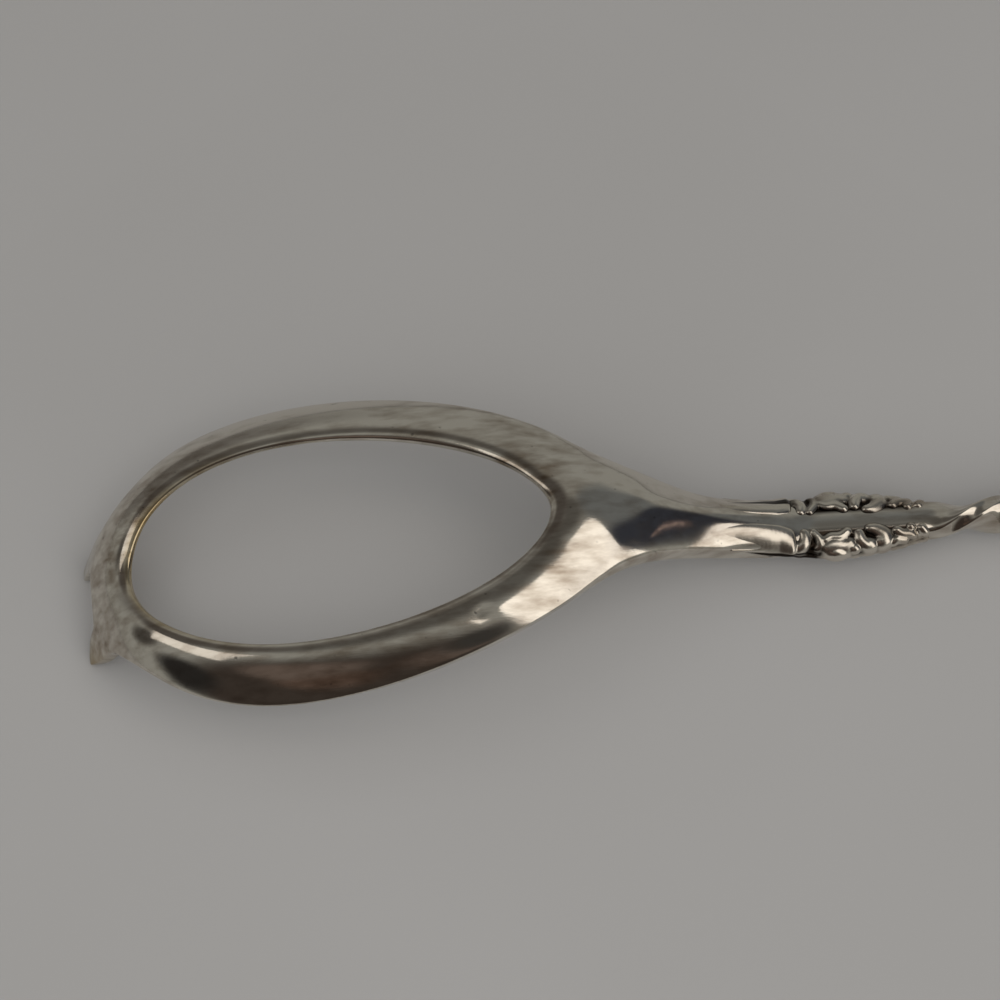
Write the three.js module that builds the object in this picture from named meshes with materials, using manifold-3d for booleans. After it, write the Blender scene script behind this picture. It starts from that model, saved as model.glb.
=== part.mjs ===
// Olive fork: a pierced oval bowl with two short tines, a half-round neck with scroll borders,
// a twisted stem and a flat spatula handle. It lies face down, with the back of the bowl up, on its
// two tine points and the flat of its handle. Sizes are in millimetres and +Z is up.

import * as THREE from "three";
import { LoftGeometry } from "three/addons/geometries/LoftGeometry.js";
import { mergeVertices } from "three/addons/utils/BufferGeometryUtils.js";
import Module from "manifold-3d";

const wasm = await Module();
wasm.setup();

// Overall, from the tine points to the end of the handle
const OVERALL_LENGTH = 210;

// Tines
const TINE_REACH = 0.65; // the points stand this far in front of the tip edge
const TINE_DROP = 3.3; // height of the tip edge over the points
const TINE_SPREAD = 8.8; // over the outsides of the two points
const TINE_GAP = 5.3; // between the inner roots
const TINE_POINT_WIDTH = 0.6;
const TINE_POINT_DEPTH = 0.8;
const NOTCH_WIDTH = 11.8; // across the notches outside the tines
const NOTCH_SETBACK = 1.35; // the notches lie this far behind the tip edge
const NOTCH_RISE = 1.4; // and this far over it

// Bowl
const BOWL_LENGTH = 44.35; // tip edge to neck root
const BOWL_WIDTH = 28.8;
const BOWL_PLATE_THICKNESS = 1.05; // metal at the edge of the hole
const RIM_PLATE_THICKNESS = 1.2; // metal at the outer rim
const BOWL_BULGE_HEIGHT = 0.45; // roundness of the band between hole and rim
const HOLE_LENGTH = 37.5;
const HOLE_WIDTH = 19.7;
const HOLE_SETBACK = 2.75; // tip edge to hole
const HOLE_TIP_HEIGHT = 6.6;
const HOLE_NECK_HEIGHT = 12.1;

// Neck
const NECK_LENGTH = 17;
const NECK_ROOT_WIDTH = 11.4;
const NECK_WIDTH = 5;
const NECK_ROOT_HEIGHT = 9.6;
const NECK_CROWN_HEIGHT = 2.2; // rise of its rounded back over its sides
const NECK_HOLLOW_DEPTH = 1.6; // depth of its hollowed face

// Bar of the shanks and the twisted stem
const BAR_WIDTH = 3.2;
const BAR_SIDE_HEIGHT = 0.6; // half height of its upright sides
const BAR_CROWN_HEIGHT = 0.5; // rise of its rounded back and face over those sides
const NECK_SHANK_LENGTH = 11.5;
const NECK_SHANK_HEIGHT = 3.85;
const STEM_LENGTH = 66;
const STEM_START_HEIGHT = 3.1;
const STEM_END_HEIGHT = 2.4;
const STEM_HALF_TURNS = 8;
const HANDLE_SHANK_LENGTH = 16.5;
const BLADE_START_HEIGHT = 1.7;

// Scroll borders on the sides of the shanks
const SCROLL_REACH = 1.3; // they stand this far out of the bar
const SCROLL_HEIGHT = 2.4;
const SCROLL_INSET = 0.4; // bare shank at each end
const SCROLL_STRIP_WIDTH = 0.5; // strip that carries the leaves and beads

// Handle blade
const BLADE_WIDTH = 14;
const BLADE_EDGE_THICKNESS = 1.4; // thickness at its edge
const BLADE_CROWN_HEIGHT = 0.6;
const BLADE_TIP_WIDTH = 2.4;
const BLADE_TIP_CROWN_HEIGHT = 0.2;
const BLADE_TIP_LIFT_HEIGHT = 0.8;

// Fineness of the facets
const ARC_STEPS = 8;
const RIM_STEPS = 24;
const TINE_STEPS = 2;
const TIP_STEPS = 3;
const BAND_STEPS = 3;
const STEM_STEPS_PER_HALF_TURN = 6;
const LOFT_STEP_LENGTH = 1.5;
const MOTIF_SIDES = 10;
const MOTIF_RINGS = 8;

// Stations along the fork
const TIP_EDGE_X = TINE_REACH;
const NECK_ROOT_X = TIP_EDGE_X + BOWL_LENGTH;
const NECK_SHANK_X = NECK_ROOT_X + NECK_LENGTH;
const STEM_X = NECK_SHANK_X + NECK_SHANK_LENGTH;
const HANDLE_SHANK_X = STEM_X + STEM_LENGTH;
const BLADE_X = HANDLE_SHANK_X + HANDLE_SHANK_LENGTH;
const BLADE_LENGTH = OVERALL_LENGTH - BLADE_X;

// Shape of the rim from neck to notch: share of its length, of the half width and of the height
const RIM_SHAPE = [
  [0.14, 0.655, 1.04],
  [0.279, 0.835, 0.96],
  [0.442, 0.96, 0.78],
  [0.605, 1, 0.57],
  [0.744, 0.949, 0.41],
  [0.86, 0.805, 0.32],
  [0.953, 0.565, 0.21],
];

// Shape of the neck from root to shank: share of its length, of its width and of its height over
// the shank, then shares of the bar's side, of the root's crown and of the root's hollow
const NECK_SHAPE = [
  [0.18, 1.68, 0.82, 1, 0.98, 0.69],
  [0.35, 1.32, 0.56, 1.1, 0.91, 0.31],
  [0.53, 1.08, 0.29, 1.17, 0.82, 0],
  [0.72, 1, 0.13, 1.17, 0.68, -0.19],
  [0.88, 1, 0.04, 1.08, 0.5, -0.31],
];

// Shape of the blade where it lies flat: share of its length and of its width
const BLADE_SHAPE = [
  [0.26, 0.56],
  [0.4, 0.78],
  [0.56, 0.95],
  [0.7, 1],
  [0.82, 0.93],
  [0.91, 0.74],
  [0.965, 0.48],
];

// Leaves and beads of a border: share of its length, then shares of length, height and reach
const SCROLL_MOTIFS = [
  [0.07, 0.16, 0.8, 0.8],
  [0.27, 0.34, 1, 1],
  [0.48, 0.14, 0.8, 0.85],
  [0.66, 0.26, 0.95, 1],
  [0.83, 0.14, 0.7, 0.7],
  [0.94, 0.12, 0.6, 0.55],
];

// The hole is an egg, fuller towards the tip, and its edge climbs steeply there
const HOLE_FULLNESS_SHARE = 0.165;
const HOLE_STEEP_SHARE = 0.5;
const HOLE_STEEPNESS_SHARE = 0.06;

// Where the spokes of the band leave the hole, as angles from its neck end
const NECK_SPOKE_ANGLE = 0.39;
const NOTCH_SPOKE_ANGLE = 2.72;
const TINE_ROOT_SPOKE_ANGLE = 2.95;

const silver = { color: 0x9a9890, roughness: 0.25, metalness: 1 };
const darkSilver = { color: 0x7d7a72, roughness: 0.4, metalness: 1 };

// A bar's cross-section at one station: upright sides, a rounded back and a rounded face
function station(x, width, height, side, crown, belly) {
  return { x, width, height, side, crown, belly };
}

function blend(from, to, share) {
  return from + (to - from) * share;
}

// Points of the section from +Y over the back to -Y, and on along the face to +Y again
function sectionPoints({ x, width, height, side, crown, belly }) {
  const back = [];
  const face = [];
  for (let i = 0; i <= ARC_STEPS; i++) {
    const angle = (Math.PI * i) / ARC_STEPS;
    const y = (width / 2) * Math.cos(angle);
    back.push(new THREE.Vector3(x, y, height + side + crown * Math.sin(angle)));
    face.push(new THREE.Vector3(x, y, height - side - belly * Math.sin(angle)));
  }
  return { back, face };
}

function sectionLoop({ back, face }) {
  return [...back, ...face.slice().reverse()];
}

// Smooth curve through values at given positions that never swings past them
function smoothCurve(positions, values) {
  const steps = positions.slice(1).map((next, i) => next - positions[i]);
  const slopes = steps.map((step, i) => (values[i + 1] - values[i]) / step);
  const tangents = positions.map((_, i) => {
    const before = slopes[Math.max(i - 1, 0)];
    const after = slopes[Math.min(i, slopes.length - 1)];
    return before * after > 0 ? (2 * before * after) / (before + after) : 0;
  });
  return (x) => {
    const i = positions.findIndex((next) => next > x) - 1;
    const t = (x - positions[i]) / steps[i];
    const rise = t * t * (3 - 2 * t);
    const leave = t * (1 - t) * (1 - t) * steps[i] * tangents[i];
    const arrive = t * t * (t - 1) * steps[i] * tangents[i + 1];
    return blend(values[i], values[i + 1], rise) + leave + arrive;
  };
}

// Smooth run of stations through the given ones, a loft step apart
function smoothStations(given) {
  const positions = given.map(({ x }) => x);
  const sizes = ["width", "height", "side", "crown", "belly"];
  const curves = sizes.map((size) => smoothCurve(positions, given.map((each) => each[size])));
  const first = positions[0];
  const last = positions[positions.length - 1];
  const count = Math.round((last - first) / LOFT_STEP_LENGTH);
  const run = [given[0]];
  for (let i = 1; i < count; i++) {
    const x = blend(first, last, i / count);
    run.push(station(x, ...curves.map((curve) => curve(x))));
  }
  run.push(given[given.length - 1]);
  return run;
}

function solidLoft(loops) {
  return new LoftGeometry(loops, { capStart: true, capEnd: true });
}

function barGeometry(given) {
  return solidLoft(smoothStations(given).map((each) => sectionLoop(sectionPoints(each))));
}

// Shared stations, where one section of the fork ends and the next begins
function barStation(x, height) {
  return station(x, BAR_WIDTH, height, BAR_SIDE_HEIGHT, BAR_CROWN_HEIGHT, BAR_CROWN_HEIGHT);
}

const neckRoot = station(
  NECK_ROOT_X,
  NECK_ROOT_WIDTH,
  NECK_ROOT_HEIGHT,
  RIM_PLATE_THICKNESS / 2,
  NECK_CROWN_HEIGHT,
  -NECK_HOLLOW_DEPTH,
);
const neckShankStart = barStation(NECK_SHANK_X, NECK_SHANK_HEIGHT);
const stemStart = barStation(STEM_X, STEM_START_HEIGHT);
const stemEnd = barStation(HANDLE_SHANK_X, STEM_END_HEIGHT);
const bladeStart = barStation(BLADE_X, BLADE_START_HEIGHT);

// Edge of the hole on the back of the bowl, by the angle from its neck end
function holeEdge(angle) {
  const along = Math.cos(angle);
  const share = (1 + along) / 2;
  const steep = (share * (1 + HOLE_STEEPNESS_SHARE)) / (share + HOLE_STEEPNESS_SHARE);
  const climb = blend(share, steep, HOLE_STEEP_SHARE);
  const middleX = TIP_EDGE_X + HOLE_SETBACK + HOLE_LENGTH / 2;
  return new THREE.Vector3(
    middleX + (HOLE_LENGTH / 2) * along,
    (HOLE_WIDTH / 2) * Math.sin(angle) * (1 - HOLE_FULLNESS_SHARE * along),
    blend(HOLE_TIP_HEIGHT, HOLE_NECK_HEIGHT, climb),
  );
}

// Outer rim on the back of the bowl, from the corner of the neck to the notch at the tine
const notch = new THREE.Vector3(TIP_EDGE_X + NOTCH_SETBACK, NOTCH_WIDTH / 2, TINE_DROP + NOTCH_RISE);
const tineRoot = new THREE.Vector3(TIP_EDGE_X, TINE_GAP / 2, TINE_DROP);

function rimCurve(corner) {
  const middle = RIM_SHAPE.map(
    ([along, out, up]) =>
      new THREE.Vector3(
        blend(corner.x, notch.x, along),
        (BOWL_WIDTH / 2) * out,
        blend(notch.z, corner.z, up),
      ),
  );
  return new THREE.CatmullRomCurve3([corner, ...middle, notch]);
}

// Direction through the metal, square to the band between hole and rim
function throughMetal(hole, rim) {
  const chord = rim.clone().sub(hole).normalize();
  return new THREE.Vector3(0, 0, 1).addScaledVector(chord, -chord.z).normalize();
}

// Point of the rim's face, straight through the metal from its back
function rimFaceBelow(rimBack, through) {
  return rimBack.clone().addScaledVector(through, -RIM_PLATE_THICKNESS);
}

// One spoke of the band: its loop runs over the back from hole to rim and returns along the face
function spoke(angle, rimBack, rimFace, through) {
  const holeBack = holeEdge(angle);
  const holeFace = holeBack.clone().addScaledVector(through, -BOWL_PLATE_THICKNESS);
  const back = [];
  const face = [];
  for (let i = 0; i <= BAND_STEPS; i++) {
    const share = i / BAND_STEPS;
    const bulge = BOWL_BULGE_HEIGHT * 4 * share * (1 - share);
    back.push(holeBack.clone().lerp(rimBack, share).addScaledVector(through, bulge));
    face.push(holeFace.clone().lerp(rimFace, share).addScaledVector(through, bulge));
  }
  return { back, face };
}

// Spokes of the +Y half of the bowl, from the middle of the neck to the middle of the tip
function halfSpokes() {
  const spokes = [];
  const root = sectionPoints(neckRoot);
  const middle = ARC_STEPS / 2;
  for (let i = middle; i >= 0; i--) {
    const angle = NECK_SPOKE_ANGLE * (1 - i / middle);
    const through = throughMetal(holeEdge(angle), root.back[i]);
    spokes.push(spoke(angle, root.back[i], root.face[i], through));
  }
  const rim = rimCurve(root.back[0]);
  for (let i = 1; i < RIM_STEPS; i++) {
    const angle = blend(NECK_SPOKE_ANGLE, NOTCH_SPOKE_ANGLE, i / RIM_STEPS);
    const rimBack = rim.getPointAt(i / RIM_STEPS);
    const through = throughMetal(holeEdge(angle), rimBack);
    spokes.push(spoke(angle, rimBack, rimFaceBelow(rimBack, through), through));
  }
  const tipMiddle = new THREE.Vector3(TIP_EDGE_X, 0, TINE_DROP);
  const tipThrough = throughMetal(holeEdge(Math.PI), tipMiddle);
  const addTipSpoke = (angle, rimBack) => {
    spokes.push(spoke(angle, rimBack, rimFaceBelow(rimBack, tipThrough), tipThrough));
  };
  for (let i = 0; i < TINE_STEPS; i++) {
    const share = i / TINE_STEPS;
    const angle = blend(NOTCH_SPOKE_ANGLE, TINE_ROOT_SPOKE_ANGLE, share);
    addTipSpoke(angle, notch.clone().lerp(tineRoot, share));
  }
  for (let i = 0; i <= TIP_STEPS; i++) {
    const share = i / TIP_STEPS;
    const angle = blend(TINE_ROOT_SPOKE_ANGLE, Math.PI, share);
    addTipSpoke(angle, tineRoot.clone().lerp(tipMiddle, share));
  }
  return spokes;
}

function mirrorPoint(point) {
  return new THREE.Vector3(point.x, -point.y, point.z);
}

function mirrorSpoke({ back, face }) {
  return { back: back.map(mirrorPoint), face: face.map(mirrorPoint) };
}

const rightHalf = halfSpokes();
const leftHalf = rightHalf.map(mirrorSpoke);

// The bowl is a closed ring of spokes
function bowlGeometry() {
  const around = [...rightHalf, ...leftHalf.slice(1, -1).reverse()].map(sectionLoop);
  return new LoftGeometry([...around, around[0]]);
}

// A tine grows out of the rim between notch and root and tapers to a point on the table
function tineGeometry(side) {
  const first = ARC_STEPS / 2 + RIM_STEPS;
  const half = side > 0 ? rightHalf : leftHalf;
  const roots = half.slice(first, first + TINE_STEPS + 1);
  const base = side > 0 ? roots.reverse() : roots;
  const back = base.map((each) => each.back[BAND_STEPS]);
  const face = base.map((each) => each.face[BAND_STEPS]);
  const pointY = (index) => {
    const share = index / TINE_STEPS - 0.5;
    return (side * (TINE_SPREAD - TINE_POINT_WIDTH)) / 2 + TINE_POINT_WIDTH * share;
  };
  const pointBack = back.map((_, i) => new THREE.Vector3(0, pointY(i), 0));
  const pointFace = face.map((_, i) => new THREE.Vector3(TINE_POINT_DEPTH, pointY(i), 0));
  return solidLoft([sectionLoop({ back, face }), sectionLoop({ back: pointBack, face: pointFace })]);
}

// The neck falls from the bowl to the shank and narrows to a half-round tongue
function neckGeometry() {
  const tongue = NECK_SHAPE.map(([along, broad, high, side, crown, hollow]) =>
    station(
      NECK_ROOT_X + NECK_LENGTH * along,
      NECK_WIDTH * broad,
      blend(NECK_SHANK_HEIGHT, NECK_ROOT_HEIGHT, high),
      BAR_SIDE_HEIGHT * side,
      NECK_CROWN_HEIGHT * crown,
      -NECK_HOLLOW_DEPTH * hollow,
    ),
  );
  return barGeometry([neckRoot, ...tongue, neckShankStart]);
}

// The stem is the bar of the shanks, turned evenly along its length
function stemGeometry() {
  const steps = STEM_HALF_TURNS * STEM_STEPS_PER_HALF_TURN;
  const loops = [];
  for (let i = 0; i <= steps; i++) {
    const share = i / steps;
    const height = blend(STEM_START_HEIGHT, STEM_END_HEIGHT, share);
    const turn = i === steps ? 0 : (-Math.PI * i) / STEM_STEPS_PER_HALF_TURN;
    const loop = sectionLoop(sectionPoints(barStation(blend(STEM_X, HANDLE_SHANK_X, share), 0)));
    const axis = new THREE.Vector3(1, 0, 0);
    loops.push(loop.map((point) => point.applyAxisAngle(axis, turn).setZ(point.z + height)));
  }
  return solidLoft(loops);
}

// The blade widens from the shank to a flat spatula, whose face lies on the table
function bladeGeometry() {
  const edge = BLADE_EDGE_THICKNESS / 2;
  const flat = BLADE_SHAPE.map(([along, broad]) =>
    station(BLADE_X + BLADE_LENGTH * along, BLADE_WIDTH * broad, edge, edge, BLADE_CROWN_HEIGHT, 0),
  );
  const lifted = edge + BLADE_TIP_LIFT_HEIGHT;
  const tip = station(OVERALL_LENGTH, BLADE_TIP_WIDTH, lifted, edge, BLADE_TIP_CROWN_HEIGHT, 0);
  return barGeometry([bladeStart, ...flat, tip]);
}

function solidOf(geometry) {
  const bare = geometry.clone();
  bare.deleteAttribute("normal");
  bare.deleteAttribute("uv");
  const merged = mergeVertices(bare);
  const vertProperties = Float32Array.from(merged.attributes.position.array);
  const triVerts = Uint32Array.from(merged.index.array);
  return new wasm.Manifold(new wasm.Mesh({ numProp: 3, vertProperties, triVerts }));
}

function geometryOf(solid) {
  const { vertProperties, triVerts } = solid.getMesh();
  const geometry = new THREE.BufferGeometry();
  geometry.setAttribute("position", new THREE.BufferAttribute(vertProperties, 3));
  geometry.setIndex(new THREE.BufferAttribute(triVerts, 1));
  return geometry;
}

// A border sits on the flat side of a shank between two stations
function scrollGeometry(side, start, end) {
  const first = start.x + SCROLL_INSET;
  const length = end.x - start.x - 2 * SCROLL_INSET;
  const heightAt = (x) => blend(start.height, end.height, (x - start.x) / (end.x - start.x));
  const face = BAR_WIDTH / 2;
  const strip = new THREE.BoxGeometry(length, 2 * SCROLL_STRIP_WIDTH, 2 * BAR_SIDE_HEIGHT);
  strip.rotateY(Math.atan2(start.height - end.height, end.x - start.x));
  strip.translate(first + length / 2, side * face, heightAt(first + length / 2));
  let border = solidOf(strip);
  for (const [along, share, tall, reach] of SCROLL_MOTIFS) {
    const x = first + length * along;
    const motif = new THREE.SphereGeometry(1, MOTIF_SIDES, MOTIF_RINGS);
    motif.scale((length * share) / 2, SCROLL_REACH * reach, (SCROLL_HEIGHT / 2) * tall);
    motif.translate(x, side * face, heightAt(x));
    border = border.add(solidOf(motif));
  }
  const outside = new THREE.BoxGeometry(2 * length, 2 * SCROLL_REACH, 4 * SCROLL_HEIGHT);
  outside.translate(first + length / 2, side * (face + SCROLL_REACH), start.height);
  return geometryOf(border.intersect(solidOf(outside)));
}

const fork = new THREE.Group();

function addPiece(name, geometry, finish) {
  const mesh = new THREE.Mesh(geometry, new THREE.MeshStandardMaterial(finish));
  mesh.name = name;
  fork.add(mesh);
}

// Left and right are as seen from the handle, looking towards the tines with the back up
const RIGHT = 1;
const LEFT = -1;

addPiece("bowl_ring", bowlGeometry(), silver);
addPiece("left_tine", tineGeometry(LEFT), silver);
addPiece("right_tine", tineGeometry(RIGHT), silver);
addPiece("neck", neckGeometry(), silver);
addPiece("neck_shank", barGeometry([neckShankStart, stemStart]), silver);
addPiece("left_neck_scroll", scrollGeometry(LEFT, neckShankStart, stemStart), darkSilver);
addPiece("right_neck_scroll", scrollGeometry(RIGHT, neckShankStart, stemStart), darkSilver);
addPiece("twisted_stem", stemGeometry(), silver);
addPiece("handle_shank", barGeometry([stemEnd, bladeStart]), silver);
addPiece("left_handle_scroll", scrollGeometry(LEFT, stemEnd, bladeStart), darkSilver);
addPiece("right_handle_scroll", scrollGeometry(RIGHT, stemEnd, bladeStart), darkSilver);
addPiece("handle_blade", bladeGeometry(), silver);

// The origin is under the middle of the fork, on the table
fork.position.x = -OVERALL_LENGTH / 2;

export default fork;
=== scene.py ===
"""Olive fork, laid face down on a pale table: its silver blank, scroll borders, finishes and studio."""

import logging
import math
from dataclasses import dataclass, field
from enum import Enum
from functools import cache, cached_property

import bmesh
import bpy
import numpy
from bpy.types import Material, Mesh, Node, NodeSocket, NodeTree, Object
from mathutils import Matrix, Vector, geometry, noise


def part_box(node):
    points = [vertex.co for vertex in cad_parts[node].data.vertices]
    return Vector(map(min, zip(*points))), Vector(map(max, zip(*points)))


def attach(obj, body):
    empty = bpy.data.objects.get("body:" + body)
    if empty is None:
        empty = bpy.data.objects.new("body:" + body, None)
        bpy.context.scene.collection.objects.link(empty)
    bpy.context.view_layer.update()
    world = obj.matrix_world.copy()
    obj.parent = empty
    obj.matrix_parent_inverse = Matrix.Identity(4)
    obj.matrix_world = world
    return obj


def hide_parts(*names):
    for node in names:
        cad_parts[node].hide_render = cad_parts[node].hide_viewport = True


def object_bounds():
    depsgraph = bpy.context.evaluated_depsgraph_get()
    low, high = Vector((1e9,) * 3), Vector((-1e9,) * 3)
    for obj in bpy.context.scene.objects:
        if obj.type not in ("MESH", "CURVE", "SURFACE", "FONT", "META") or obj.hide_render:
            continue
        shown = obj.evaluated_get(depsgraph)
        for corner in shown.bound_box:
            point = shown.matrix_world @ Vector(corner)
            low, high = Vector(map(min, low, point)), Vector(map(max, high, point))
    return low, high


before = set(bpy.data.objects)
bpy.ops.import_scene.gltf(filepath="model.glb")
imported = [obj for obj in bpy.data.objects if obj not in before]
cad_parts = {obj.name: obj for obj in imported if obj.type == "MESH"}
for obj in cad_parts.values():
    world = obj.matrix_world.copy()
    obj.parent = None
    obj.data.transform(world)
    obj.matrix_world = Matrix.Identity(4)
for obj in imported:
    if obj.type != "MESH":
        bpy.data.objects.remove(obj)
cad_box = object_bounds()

MM = 0.001
WORN_EDGE = "worn_edge"
RECESS = "recess"
SECTION_SIZES = ("width", "height", "side", "crown", "belly", "gable")
# Steps of a smooth path between two of its points
CURVE_STEPS = 24
# A handle of the path is the line between a point's two neighbours, divided by this
HANDLE_PARTS = 6
# Digits of the places along a border for which its bed is worked out
PLACE_DIGITS = 2
# Spread of a lump that is as wide as it is thick
ROUND = (1.0, 1.0)
# Sockets of a mix node that carry colours: its share, its two colours and its result
MIX_SHARE, MIX_BASE, MIX_LAYER, MIX_RESULT = 0, 6, 7, 2
log = logging.getLogger("olive_fork")


class Section(Enum):
    """Sections of the forged blank. Each value is the CAD node that the section stands for."""

    BOWL = "bowl_ring"
    LEFT_TINE = "left_tine"
    RIGHT_TINE = "right_tine"
    NECK = "neck"
    NECK_SHANK = "neck_shank"
    STEM = "twisted_stem"
    HANDLE_SHANK = "handle_shank"
    BLADE = "handle_blade"


class Side(Enum):
    """Sides of the fork, as seen from the handle. Each value is the sign of Y there."""

    LEFT = -1
    RIGHT = 1


def linear(hex_colour: str) -> tuple[float, float, float, float]:
    """Turns an sRGB hex colour into a linear colour.

    Args:
        hex_colour: Colour such as "#D8D4C6".

    Returns:
        Red, green, blue and an alpha of 1.
    """
    shares = [int(hex_colour[i : i + 2], 16) / 255 for i in (1, 3, 5)]
    # Curve of the sRGB standard
    bright = [s / 12.92 if s <= 0.04045 else ((s + 0.055) / 1.055) ** 2.4 for s in shares]
    return (*bright, 1.0)


def blend(start: float, end: float, share: float) -> float:
    """Gives the value a share of the way from start to end."""
    return start + (end - start) * share


def smooth_path(points: list[Vector], count: int) -> list[Vector]:
    """Samples a smooth curve through points, evenly along its length.

    Args:
        points: Points that the curve passes through, of any dimension.
        count: Number of steps.

    Returns:
        count + 1 points, from the first given point to the last.
    """
    fine = [points[0]]
    for i in range(len(points) - 1):
        before, start = points[max(i - 1, 0)], points[i]
        end, after = points[i + 1], points[min(i + 2, len(points) - 1)]
        leave = start + (end - before) / HANDLE_PARTS
        arrive = end - (after - start) / HANDLE_PARTS
        fine += geometry.interpolate_bezier(start, leave, arrive, end, CURVE_STEPS)[1:]
    lengths = [0.0]
    for start, end in zip(fine, fine[1:]):
        lengths.append(lengths[-1] + (end - start).length)
    path = []
    place = 0
    for i in range(count + 1):
        reach = lengths[-1] * i / count
        while place < len(fine) - 2 and lengths[place + 1] < reach:
            place += 1
        share = (reach - lengths[place]) / (lengths[place + 1] - lengths[place])
        path.append(fine[place].lerp(fine[place + 1], share))
    return path


def smooth_value(places: list[float], values: list[float], place: float) -> float:
    """Reads a smooth curve through values that never swings past them.

    Args:
        places: Rising positions of the values.
        values: One value for each position.
        place: Position to read, between the first and the last.

    Returns:
        The curve's value there.
    """
    steps = [end - start for start, end in zip(places, places[1:])]
    slopes = [(values[i + 1] - values[i]) / step for i, step in enumerate(steps)]
    i = max(k for k in range(len(steps)) if places[k] <= place)

    def tangent(k: int) -> float:
        """Gives the curve's slope at one of the values."""
        before, after = slopes[max(k - 1, 0)], slopes[min(k, len(slopes) - 1)]
        return 2 * before * after / (before + after) if before * after > 0 else 0.0

    t = (place - places[i]) / steps[i]
    rise = blend(values[i], values[i + 1], t * t * (3 - 2 * t))
    leave = t * (1 - t) ** 2 * steps[i] * tangent(i)
    arrive = t * t * (t - 1) * steps[i] * tangent(i + 1)
    return rise + leave + arrive


def place_piece(mesh: Mesh, name: str, node: str) -> Object:
    """Puts a finished mesh into the scene as a piece of the fork.

    Args:
        mesh: Mesh in metres, in the frame's place.
        name: Name of the piece.
        node: CAD node that the piece stands for.

    Returns:
        The new object.
    """
    piece = bpy.data.objects.new(name, mesh)
    bpy.context.scene.collection.objects.link(piece)
    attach(piece, "root")
    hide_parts(node)
    log.info("%s: %d faces", name, len(mesh.polygons))
    return piece


def evaluated(mesh: Mesh, modifiers: list[tuple[str, dict]]) -> Mesh:
    """Runs modifiers on a mesh.

    Args:
        mesh: Mesh to start from. It is removed.
        modifiers: Type and settings of each modifier, in order.

    Returns:
        The mesh that comes out.
    """
    maker = bpy.data.objects.new("maker", mesh)
    bpy.context.scene.collection.objects.link(maker)
    for kind, settings in modifiers:
        modifier = maker.modifiers.new(kind.lower(), kind)
        for name, value in settings.items():
            setattr(modifier, name, value)
    graph = bpy.context.evaluated_depsgraph_get()
    result = bpy.data.meshes.new_from_object(maker.evaluated_get(graph))
    bpy.data.objects.remove(maker)
    bpy.data.meshes.remove(mesh)
    return result


@dataclass(frozen=True)
class Station:
    """Cross-section of the bar: upright sides, a rounded or gabled back and a rounded face."""

    x: float
    width: float
    height: float
    side: float
    crown: float
    belly: float
    gable: float = 0.0
    turn: float = 0.0

    def rows(self, steps: int) -> tuple[list[Vector], list[Vector]]:
        """Gives the section's back and face.

        Args:
            steps: Number of steps across the bar.

        Returns:
            Points of the back and of the face, each from +Y to -Y.
        """
        back, face = [], []
        for i in range(steps + 1):
            angle = math.pi * i / steps
            across, rise = math.cos(angle), math.sin(angle)
            ridge = blend(rise, 1 - abs(across), self.gable)
            across *= self.width / 2
            back.append(Vector((0, across, self.side + self.crown * ridge)))
            face.append(Vector((0, across, -self.side - self.belly * rise)))
        turned = Matrix.Rotation(self.turn, 3, "X")
        middle = Vector((self.x, 0, self.height))
        return [turned @ p + middle for p in back], [turned @ p + middle for p in face]


@dataclass
class Cage:
    """Control mesh of the blank, in millimetres, with the section and the edge wear of its parts."""

    points: list[Vector] = field(default_factory=list)
    wear: list[float] = field(default_factory=list)
    faces: list[tuple[int, ...]] = field(default_factory=list)
    sections: list[Section] = field(default_factory=list)

    def add(self, points: list[Vector], wear: float = 0.0) -> list[int]:
        """Adds points.

        Args:
            points: Places of the points.
            wear: Edge wear there, from 0 to 1.

        Returns:
            Their numbers.
        """
        first = len(self.points)
        self.points += points
        self.wear += [wear] * len(points)
        return list(range(first, len(self.points)))

    def bridge(self, first: list[int], second: list[int], section: Section) -> None:
        """Joins two rows of points by a strip of faces.

        Args:
            first: Numbers of the points of one row.
            second: Numbers of the points of the other row, as many.
            section: Section of the blank that the strip belongs to.
        """
        for a, b, c, d in zip(first, first[1:], second[1:], second):
            self.faces.append((a, b, c, d))
            self.sections.append(section)


@dataclass
class Slab:
    """Closed section of the blank in the cage: rows over its back and face, and walls at both ends."""

    back: list[int]
    face: list[int]
    first_wall: list[int]
    last_wall: list[int]

    def loop(self) -> list[int]:
        """Gives the point numbers once round the section, ending where they begin."""
        return [*self.back, *self.last_wall, *self.face[::-1], *self.first_wall[::-1], self.back[0]]


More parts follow.
